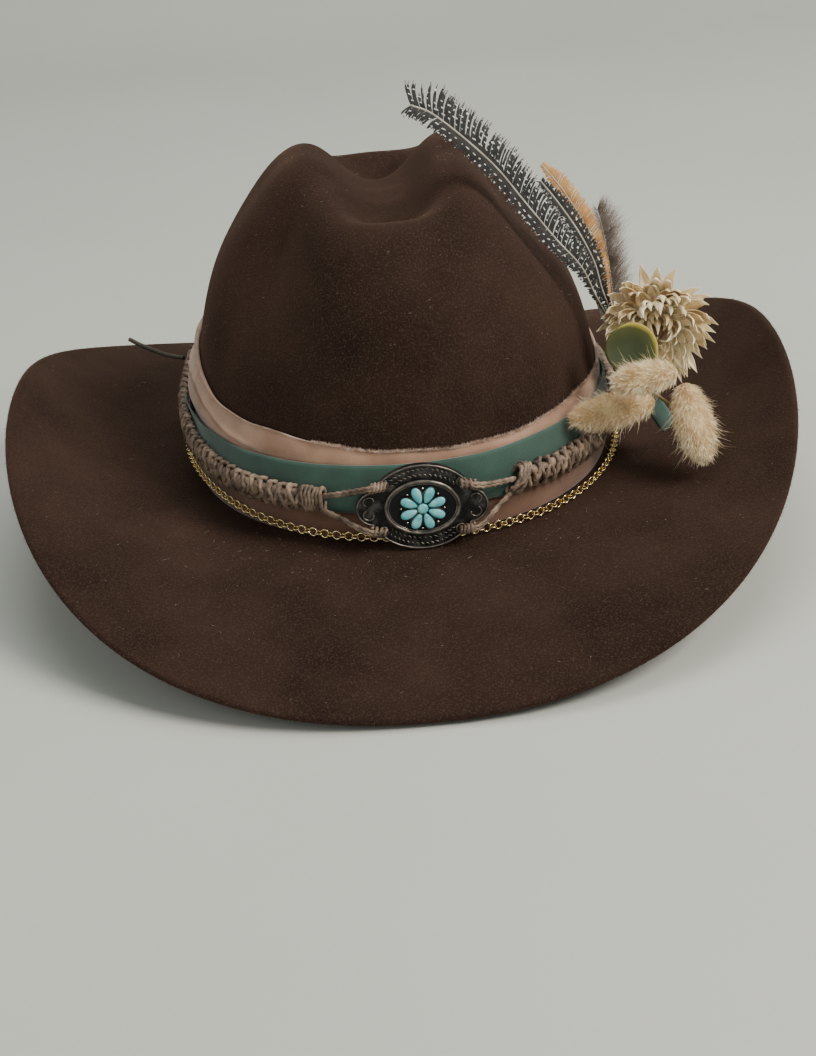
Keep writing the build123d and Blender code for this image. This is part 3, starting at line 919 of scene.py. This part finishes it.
def make_leaf():
    centre = np.array([89.5, -72.0, 56.5])
    axis, side, up = orthonormal((-0.1, -0.9, 0.44))
    made = bpy.data.materials.new("leaf")
    made.use_nodes = True
    nodes, links, shader = nodes_of(made)
    shader.inputs["Roughness"].default_value = 0.6
    attribute = nodes.new("ShaderNodeAttribute")
    attribute.attribute_name = "rim"
    total = nodes.new("ShaderNodeMath")
    total.operation = "MULTIPLY_ADD"
    total.inputs[1].default_value = 0.35
    links.new(noise_node(nodes, links, 120, 2), total.inputs[0])
    links.new(attribute.outputs["Fac"], total.inputs[2])
    ramp = nodes.new("ShaderNodeValToRGB")
    ramp.color_ramp.elements[0].color = (0.026, 0.038, 0.005, 1)
    ramp.color_ramp.elements[0].position = 0.35
    ramp.color_ramp.elements[1].color = (0.36, 0.29, 0.04, 1)
    middle = ramp.color_ramp.elements.new(0.8)
    middle.color = (0.060, 0.066, 0.007, 1)
    links.new(total.outputs["Value"], ramp.inputs["Fac"])
    links.new(ramp.outputs["Color"], shader.inputs["Base Color"])
    rings, spokes = 12, 48
    points, rim = [centre - axis * 0.6], [0.0]
    for i in range(1, rings + 1):
        t = i / rings
        for j in range(spokes):
            turn = 2 * pi * j / spokes
            reach = 9.9 * t * (1 + 0.03 * sin(3 * turn + 1) + 0.07 * t * sin(turn) ** 7)
            wave = 1.6 * t * t + 0.7 * t * t * sin(2 * turn) + 0.5 * t * cos(turn) ** 2
            points.append(centre + (side * cos(turn) + up * sin(turn)) * reach + axis * (wave - 0.6))
            rim.append(t ** 2.2 * (0.62 + 0.38 * cos(turn - 2.3)))
    faces = [(0, 1 + (j + 1) % spokes, 1 + j) for j in range(spokes)]
    faces += grid_faces(rings, spokes, close_columns=True, start=1)
    leaf = new_mesh("leaf_blade", points, faces, made)
    layer = leaf.data.attributes.new("rim", "FLOAT", "POINT")
    layer.data.foreach_set("value", rim)
    thicken(leaf, 0.0006)
    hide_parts("round_leaf")


# Each tail: where its head starts and ends, and its radius with the hairs.
BUNNY_TAILS = (((99, -59, 29), (65.5, -80, 33.5), 7.6),
               ((104.6, -79.2, 48.8), (80.6, -88.4, 50.2), 6.2),
               ((112.4, -57.5, 34), (115.0, -84, 14), 8.6))
TAIL_RINGS, TAIL_SIDES = 16, 20
TAIL_HAIRS, LONG_TAIL_HAIRS = 5200, 70


def tail_outline(share):
    """How thick a tail is along its length, from 0 to 1."""
    return sin(pi * min(1, 0.08 + share * 0.9)) ** 0.62


def make_bunny_tails():
    for number, (start, end, radius) in enumerate(BUNNY_TAILS, 1):
        start, end = np.array(start, float), np.array(end, float)
        length = np.linalg.norm(end - start)
        axis, side, up = orthonormal(end - start)
        heap = Heap()
        rows = []
        for t in np.linspace(0, 1, TAIL_RINGS):
            for turn in full_turn(TAIL_SIDES):
                radial = side * cos(turn) + up * sin(turn)
                rows.append(start + axis * length * t + radial * radius * 0.74 * tail_outline(t))
        faces = grid_faces(TAIL_RINGS, TAIL_SIDES, close_columns=True)
        heap.add(rows, faces + ring_ends(TAIL_RINGS, TAIL_SIDES))
        for _ in range(TAIL_HAIRS):
            t = RNG.uniform(0.0, 1.0)
            turn = RNG.uniform(0, 2 * pi)
            radial = side * cos(turn) + up * sin(turn)
            root = start + axis * length * t + radial * radius * 0.70 * tail_outline(t)
            lean = axis * (0.75 + 0.5 * t) + radial * RNG.uniform(0.35, 0.95) + RNG.normal(0, 0.22, 3)
            long = RNG.uniform(2.4, 5.2) if RNG.uniform() < 0.93 else RNG.uniform(5, 8.5)
            long *= 1 - 0.45 * smooth(t, 0.75, 1.0)
            hair(heap, root, lean, long, 0.19, RNG.normal(0, 0.6), slot=1)
        for _ in range(LONG_TAIL_HAIRS):
            turn = RNG.uniform(0, 2 * pi)
            radial = side * cos(turn) + up * sin(turn)
            root = start + axis * length * RNG.uniform(0.25, 0.85) + radial * radius * 0.6
            lean = axis * 0.6 + radial + RNG.normal(0, 0.3, 3)
            hair(heap, root, lean, RNG.uniform(7, 12), 0.12, RNG.normal(0, 1.2), slot=1)
        tail = heap.piece(f"grass_tail_{number}", GRASS, GRASS_HAIR)
        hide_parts(f"bunny_tail_{number}")


# The first material slots of a feather. The shaft comes last.
PLAIN, DOTTED, FRINGED = 0, 1, 2
SHAFT_SAMPLES = 240
DOT_ROWS = 2.3
DOWN_SAMPLES = 60
DOWN_HAIRS = 2600


def make_feather(name, node, shaft, widths, finishes, spotted, barb_gap=0.62, frayed=1.0):
    """A shaft from quill to tip with barbs on both sides. Widths are (share, left, right)."""
    line = rounded_line(shaft, SHAFT_SAMPLES)
    along = unit(np.gradient(line, axis=0))
    facing = unit(np.array([sin(0.1), -cos(0.1), 0.25]))
    total = np.linalg.norm(np.diff(line, axis=0), axis=1).sum()
    heap = Heap()
    shares, left, right = zip(*widths)
    for side, reach_at in ((1, left), (-1, right)):
        count = int(total / barb_gap)
        gap = 0
        for number in range(count):
            share = (number + 0.5) / count
            index = int(share * (SHAFT_SAMPLES - 1))
            here, ahead = line[index], along[index]
            outward = np.cross(facing, ahead) * side
            reach = np.interp(share, shares, reach_at) * RNG.uniform(0.9, 1.08)
            if reach < 0.5:
                continue
            if RNG.uniform() < 0.035 * frayed:
                gap = RNG.integers(1, 3)
            if gap > 0:
                gap -= 1
                reach *= RNG.uniform(0.45, 0.8)
            sweep = radians(38 + RNG.normal(0, 2.5) + 6 * share)
            steps = max(5, int(reach / 0.45))
            points, slots = [], []
            waver = RNG.normal(0, 0.35 * frayed)
            for i in range(steps + 1):
                t = i / steps
                distance = reach * t
                bend = sweep - 0.35 * t
                spot = here + outward * distance * cos(sweep) * 1.12 + ahead * distance * sin(bend)
                spot = spot + facing * 0.25 * sin(pi * t) + ahead * waver * t * t * t
                half = barb_gap * 0.68 * (1 - 0.75 * smooth(t, 0.72, 1.0)) * (1 + 0.1 * RNG.normal())
                points += [spot - ahead * half, spot + ahead * half]
                if i < steps:
                    kind = PLAIN
                    if spotted and t < 0.78:
                        row = round(distance / DOT_ROWS)
                        phase = (share * total + distance * 0.45 + (row % 2) * 1.5) % 3.0
                        if abs(distance - row * DOT_ROWS) < 0.36 and phase < 0.9 and row > 0:
                            kind = DOTTED
                    elif spotted and RNG.uniform() < (0.5 if side < 0 else 0.25):
                        kind = FRINGED
                    slots.append(kind)
            faces = [(2 * i, 2 * i + 1, 2 * i + 3, 2 * i + 2) for i in range(steps)]
            start = len(heap.slots)
            heap.add(points, faces)
            heap.slots[start:] = slots
    cord_tube(heap, shaft, 0.36, sides=7, spacing=1.0, plies=0, slot=len(finishes) - 1)
    made = heap.piece(name, *finishes)
    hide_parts(node)
    return made


def make_feathers():
    guinea = [BARB, DOT, FRINGE, SHAFT]
    shaft = [(86, -41, 58), (80.2, -43, 70), (74.8, -43.5, 82), (65.0, -43.5, 94.2),
             (53.5, -43.5, 109.8), (43.5, -43.5, 123.5), (31.5, -43.5, 136), (20.0, -43.5, 146),
             (12.5, -43.5, 149.5)]
    widths = ((0.0, 0.2, 0.2), (0.12, 2.4, 2.6), (0.25, 5.4, 6.8), (0.45, 6.2, 10.6),
              (0.62, 6.2, 12.0), (0.8, 6.2, 12.6), (0.93, 6.4, 12.0), (1.0, 6.0, 10.0))
    made = make_feather("guinea_long_vane", "guinea_feather_long", shaft, widths, guinea, True)
    shaft = [(88, -38.5, 58), (83.6, -39.3, 70), (80.5, -39.5, 82), (74.5, -39.5, 95),
             (67, -39.5, 107), (60.5, -39.5, 116)]
    widths = ((0.0, 0.2, 0.2), (0.2, 3.2, 3.4), (0.5, 5.2, 5.6), (0.8, 4.6, 5.0), (1.0, 1.8, 2.2))
    made = make_feather("guinea_short_vane", "guinea_feather_short", shaft, widths, guinea, True,
                        frayed=1.6)
    shaft = [(88.5, -36.3, 56), (84.8, -36.3, 70), (81.8, -36.3, 84), (76.0, -36.3, 99),
             (68.5, -36.3, 112), (61.5, -36.3, 121.5)]
    widths = ((0.0, 0.2, 0.2), (0.25, 2.8, 4.0), (0.55, 4.4, 7.2), (0.85, 3.4, 5.6), (1.0, 1.2, 1.6))
    made = make_feather("pheasant_vane", "pheasant_feather", shaft, widths, [PHEASANT, SHAFT], False,
                        barb_gap=0.42, frayed=0.25)
    down = Heap()
    stem = [(89, -32.3, 60), (87.5, -32.3, 76), (85.5, -32.3, 90), (83, -32.3, 101)]
    stem = rounded_line(stem, DOWN_SAMPLES)
    cord_tube(down, stem[::6], 0.3, plies=0, sides=6)
    for _ in range(DOWN_HAIRS):
        index = RNG.integers(4, DOWN_SAMPLES)
        along = unit(stem[min(DOWN_SAMPLES - 1, index + 1)] - stem[index - 1])
        side = RNG.choice([-1, 1, 1, 1])
        way = np.array([side * 1.0, RNG.normal(0, 0.25), 0.0]) + along * RNG.uniform(0.6, 1.7)
        long = RNG.uniform(6.0, 14.0) * (1 if side > 0 else 0.5)
        long *= 1 - 0.4 * smooth(index / DOWN_SAMPLES, 0.7, 1.0)
        hair(down, stem[index], way, long, 0.10, RNG.normal(0, 2.6), sections=4)
    made = down.piece("down_tuft", DOWN)
    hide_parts("down_plume")


STITCHES = 190


def make_small_pieces():
    dress("guinea_quill", SHAFT)
    dress("posy_stems", STEM)
    dress("chain_links", GOLD)
    dress("sweatband", SWEAT)
    binding = Heap()
    for number in range(6):
        height = -3.0 + 1.2 * number
        reach = sqrt(max(1.0, 4.0 ** 2 - height * height))
        ring = [(96 + reach * cos(t), -38 + reach * sin(t), 31 + height + 0.3 * sin(t))
                for t in full_turn(16)]
        cord_tube(binding, ring, 0.85, closed=True)
    made = binding.piece("posy_wrap", GREEN)
    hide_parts("posy_binding")
    stitches = Heap()
    for angle in full_turn(STITCHES):
        a, b = (beside(one, 2.2, -FELT - 2.15) for one in (angle, angle + 0.018))
        middle = (a + b) / 2 * 0.9985 + np.array([0, 0, 0.003])
        cord_tube(stitches, [a, middle, b], 0.22, sides=6, plies=0)
    made = stitches.piece("sweatband_stitches", THREAD)
    bow = Heap()
    back = beside(pi, 8.0, -FELT - 3.6)
    for side in (-1, 1):
        rows = []
        for t in full_turn(20):
            reach = 5.6 - 5.2 * cos(t)
            bulge = 1.0 * sin(t)
            pinch = 1.1 + 2.4 * (1 - cos(t)) / 2
            rows.append([back + np.array([side * reach, bulge, pinch * s]) for s in np.linspace(-1, 1, 5)])
        bow.add(np.concatenate(rows), grid_faces(20, 5, close_rows=True))
    for height in (-1.2, -0.4, 0.4, 1.2):
        ring = [back + np.array([1.6 * sin(t), 1.3 * cos(t), height]) for t in full_turn(12)]
        cord_tube(bow, ring, 0.55, closed=True, plies=0)
    made = bow.piece("sweatband_bow_ribbon", BOW)
    thicken(made, 0.0003)
    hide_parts("sweatband_bow")


# ---- stage, light and camera


def make_stage():
    """A floor just under the hat that bends up into a wall behind it, in metres."""
    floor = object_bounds()[0][2] - 0.0006
    mesh = bpy.data.meshes.new("studio_floor")
    size, back, wall_top, bend = 6.0, 1.6, 4.0, 0.5
    bow = [(back - bend + bend * sin(t), floor + bend - bend * cos(t)) for t in np.linspace(0, pi / 2, 14)]
    profile = [(-size, floor), *bow, (back, wall_top)]
    points = [(x, y, z) for y, z in profile for x in (-size, size)]
    mesh.from_pydata(points, [], [(2 * i, 2 * i + 1, 2 * i + 3, 2 * i + 2) for i in range(len(profile) - 1)])
    mesh.polygons.foreach_set("use_smooth", [True] * len(mesh.polygons))
    stage = add_object("studio_floor", mesh)
    paper = material("studio_floor", (0.52, 0.54, 0.50), 0.8, second=(0.55, 0.57, 0.53), grain=3, bump=0)
    mesh.materials.append(paper)


def area_light(name, spot, target, size, power, colour):
    lamp = bpy.data.lights.new(name, "AREA")
    lamp.size = size
    lamp.energy = power
    lamp.color = colour
    holder = add_object(name, lamp)
    holder.location = spot
    holder.rotation_euler = (Vector(target) - Vector(spot)).to_track_quat("-Z", "Y").to_euler()


def make_light():
    area_light("key", (1.25, -0.75, 1.35), (0, 0, 0.04), 0.8, 40, (1.0, 0.94, 0.85))
    area_light("fill", (-1.3, -1.2, 1.0), (0, 0, 0.03), 1.6, 7, (1.0, 0.97, 0.94))
    area_light("top", (0.1, 0.35, 1.7), (0, 0, 0.05), 1.2, 15, (1.0, 0.98, 0.95))
    world = bpy.data.worlds.new("studio")
    world.use_nodes = True
    background = world.node_tree.nodes["Background"]
    background.inputs["Color"].default_value = (0.66, 0.69, 0.66, 1)
    background.inputs["Strength"].default_value = 0.5
    bpy.context.scene.world = world


def make_camera():
    """The view from the front and above, rolled a little. Distances are in metres."""
    elevation, azimuth, roll = radians(26.1), radians(-0.7), radians(-4.5)
    distance, across, rise = 0.712, 0.0031, -0.0413
    back = Vector((sin(azimuth) * cos(elevation), -cos(azimuth) * cos(elevation), sin(elevation)))
    level = Vector((cos(azimuth), sin(azimuth), 0))
    over = back.cross(level)
    right = level * cos(roll) + over * sin(roll)
    up = over * cos(roll) - level * sin(roll)
    camera = bpy.data.cameras.new("camera")
    camera.sensor_width = 36
    camera.lens = 55.7
    camera.clip_start = 0.01
    holder = add_object("camera", camera)
    turn = Matrix((right, up, back)).transposed().to_4x4()
    holder.matrix_world = Matrix.Translation(back * distance + right * across + up * rise) @ turn
    bpy.context.scene.camera = holder


make_camera()
make_tail()
make_felt()
make_nap()
make_bands()
ribbon_strip("ribbon_loop_strip", "ribbon_loop",
             [(93.5, -30, 32), (93.2, -25, 42), (90.3, -22, 52), (87.5, -20, 57.5)],
             (3.2, 12.4, 0.8), 0.5)
ribbon_strip("ribbon_tail_strip", "ribbon_tail",
             [(101, -46, 24), (103.5, -47.5, 20), (106.0, -48.5, 16), (108.0, -49.3, 13.5)],
             (7.0, 9.2, 1.0), 0.5)
make_braid("braid_left_cords", "braid_left", -101.5, -21.5)
make_braid("braid_right_cords", "braid_right", 26.0, 249.5)
make_wraps()
make_laces()
make_concho()
make_flower()
make_leaf()
make_bunny_tails()
make_feathers()
make_small_pieces()
make_stage()
make_light()
